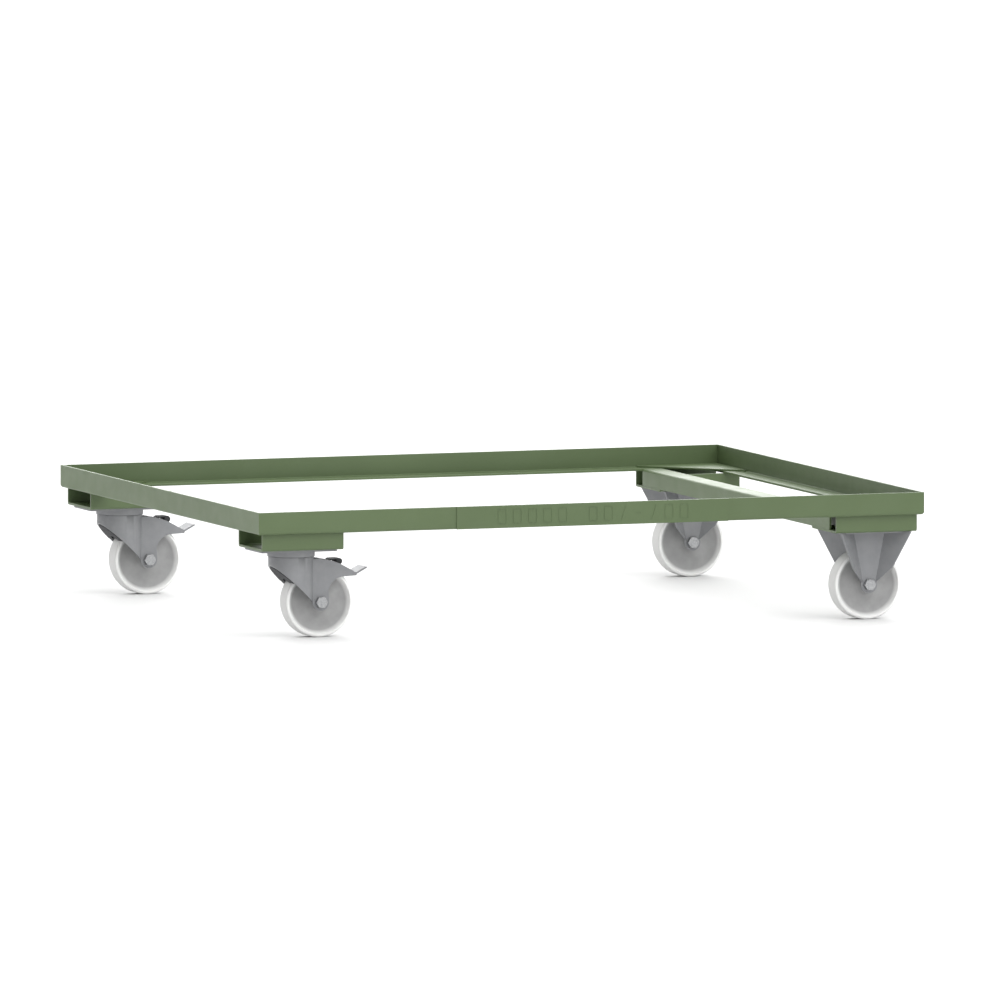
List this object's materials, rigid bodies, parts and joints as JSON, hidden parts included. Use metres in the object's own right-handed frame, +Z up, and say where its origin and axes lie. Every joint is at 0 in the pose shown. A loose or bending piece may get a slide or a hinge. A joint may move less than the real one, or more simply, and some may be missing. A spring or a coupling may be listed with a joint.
{
  "type": "plant trolley",
  "caption": "Low open steel trolley: an angle-iron frame that holds a pallet or trays, on braked swivel castors at one end and fixed castors at the other.",
  "frame": {"origin": "on the floor under the middle of the trolley", "axes": "+X along the length towards the fixed castors, +Y across the width away from the marked rail, +Z up"},
  "size_m": [1.25, 1.0514, 0.228],
  "materials": {
    "green_paint": "semi-gloss reseda-green powder coat",
    "zinc": "blue-passivated zinc plate on pressed steel",
    "bolt_zinc": "bright zinc plate",
    "bearing_steel": "ground steel",
    "spring_steel": "tempered spring steel",
    "nylon": "natural white cast nylon",
    "black_plastic": "black moulded plastic",
    "black_tab": "black dip coating on steel",
    "brake_rubber": "black rubber"
  },
  "bodies": {
    "chassis": {"front_rail": "green_paint", "back_rail": "green_paint", "left_rail": "green_paint", "right_rail": "green_paint", "crossbeam": "green_paint", "marking_strip": "green_paint", "front_left_channel": "green_paint", "front_left_gusset": "green_paint", "back_left_channel": "green_paint", "back_left_gusset": "green_paint", "front_right_channel": "green_paint", "front_right_gusset": "green_paint", "back_right_channel": "green_paint", "back_right_gusset": "green_paint", "front_left_top_plate": "zinc", "front_left_upper_race": "zinc", "front_left_kingpin": "bolt_zinc", "front_left_kingpin_nut": "bolt_zinc", "back_left_top_plate": "zinc", "back_left_upper_race": "zinc", "back_left_kingpin": "bolt_zinc", "back_left_kingpin_nut": "bolt_zinc", "front_right_bracket": "zinc", "front_right_axle_tube": "bearing_steel", "front_right_axle_bolt": "bolt_zinc", "front_right_axle_nut": "bolt_zinc", "back_right_bracket": "zinc", "back_right_axle_tube": "bearing_steel", "back_right_axle_bolt": "bolt_zinc", "back_right_axle_nut": "bolt_zinc"},
    "front_left_swivel": {"front_left_fork": "zinc", "front_left_swivel_balls": "bearing_steel", "front_left_lock_housing": "black_plastic", "front_left_brake_pin": "zinc", "front_left_brake_spring": "spring_steel", "front_left_axle_tube": "bearing_steel", "front_left_axle_bolt": "bolt_zinc", "front_left_axle_nut": "bolt_zinc"},
    "front_left_brake": {"front_left_brake_rocker": "zinc", "front_left_brake_shoe": "brake_rubber", "front_left_lock_tab": "black_tab"},
    "front_left_wheel": {"front_left_wheel": "nylon"},
    "back_left_swivel": {"back_left_fork": "zinc", "back_left_swivel_balls": "bearing_steel", "back_left_lock_housing": "black_plastic", "back_left_brake_pin": "zinc", "back_left_brake_spring": "spring_steel", "back_left_axle_tube": "bearing_steel", "back_left_axle_bolt": "bolt_zinc", "back_left_axle_nut": "bolt_zinc"},
    "back_left_brake": {"back_left_brake_rocker": "zinc", "back_left_brake_shoe": "brake_rubber", "back_left_lock_tab": "black_tab"},
    "back_left_wheel": {"back_left_wheel": "nylon"},
    "front_right_wheel": {"front_right_wheel": "nylon"},
    "back_right_wheel": {"back_right_wheel": "nylon"}
  },
  "joints": [
    {"name": "front_left_swivel_turn", "type": "hinge", "parent": "chassis", "child": "front_left_swivel", "pos_m": [-0.539, -0.45175, 0.1537], "axis": [0, 0, 1], "continuous": true},
    {"name": "front_left_wheel_spin", "type": "hinge", "parent": "front_left_swivel", "child": "front_left_wheel", "pos_m": [-0.492, -0.45175, 0.0625], "axis": [0, 1, 0], "continuous": true},
    {"name": "front_left_brake_press", "type": "hinge", "parent": "front_left_swivel", "child": "front_left_brake", "pos_m": [-0.4456, -0.45175, 0.1178], "axis": [0, 1, 0], "range_deg": [-7, 0]},
    {"name": "back_left_swivel_turn", "type": "hinge", "parent": "chassis", "child": "back_left_swivel", "pos_m": [-0.539, 0.45325, 0.1537], "axis": [0, 0, 1], "continuous": true},
    {"name": "back_left_wheel_spin", "type": "hinge", "parent": "back_left_swivel", "child": "back_left_wheel", "pos_m": [-0.492, 0.45325, 0.0625], "axis": [0, 1, 0], "continuous": true},
    {"name": "back_left_brake_press", "type": "hinge", "parent": "back_left_swivel", "child": "back_left_brake", "pos_m": [-0.4456, 0.45325, 0.1178], "axis": [0, 1, 0], "range_deg": [-7, 0]},
    {"name": "front_right_wheel_spin", "type": "hinge", "parent": "chassis", "child": "front_right_wheel", "pos_m": [0.539, -0.45175, 0.0625], "axis": [0, 1, 0], "continuous": true},
    {"name": "back_right_wheel_spin", "type": "hinge", "parent": "chassis", "child": "back_right_wheel", "pos_m": [0.539, 0.45325, 0.0625], "axis": [0, 1, 0], "continuous": true}
  ]
}
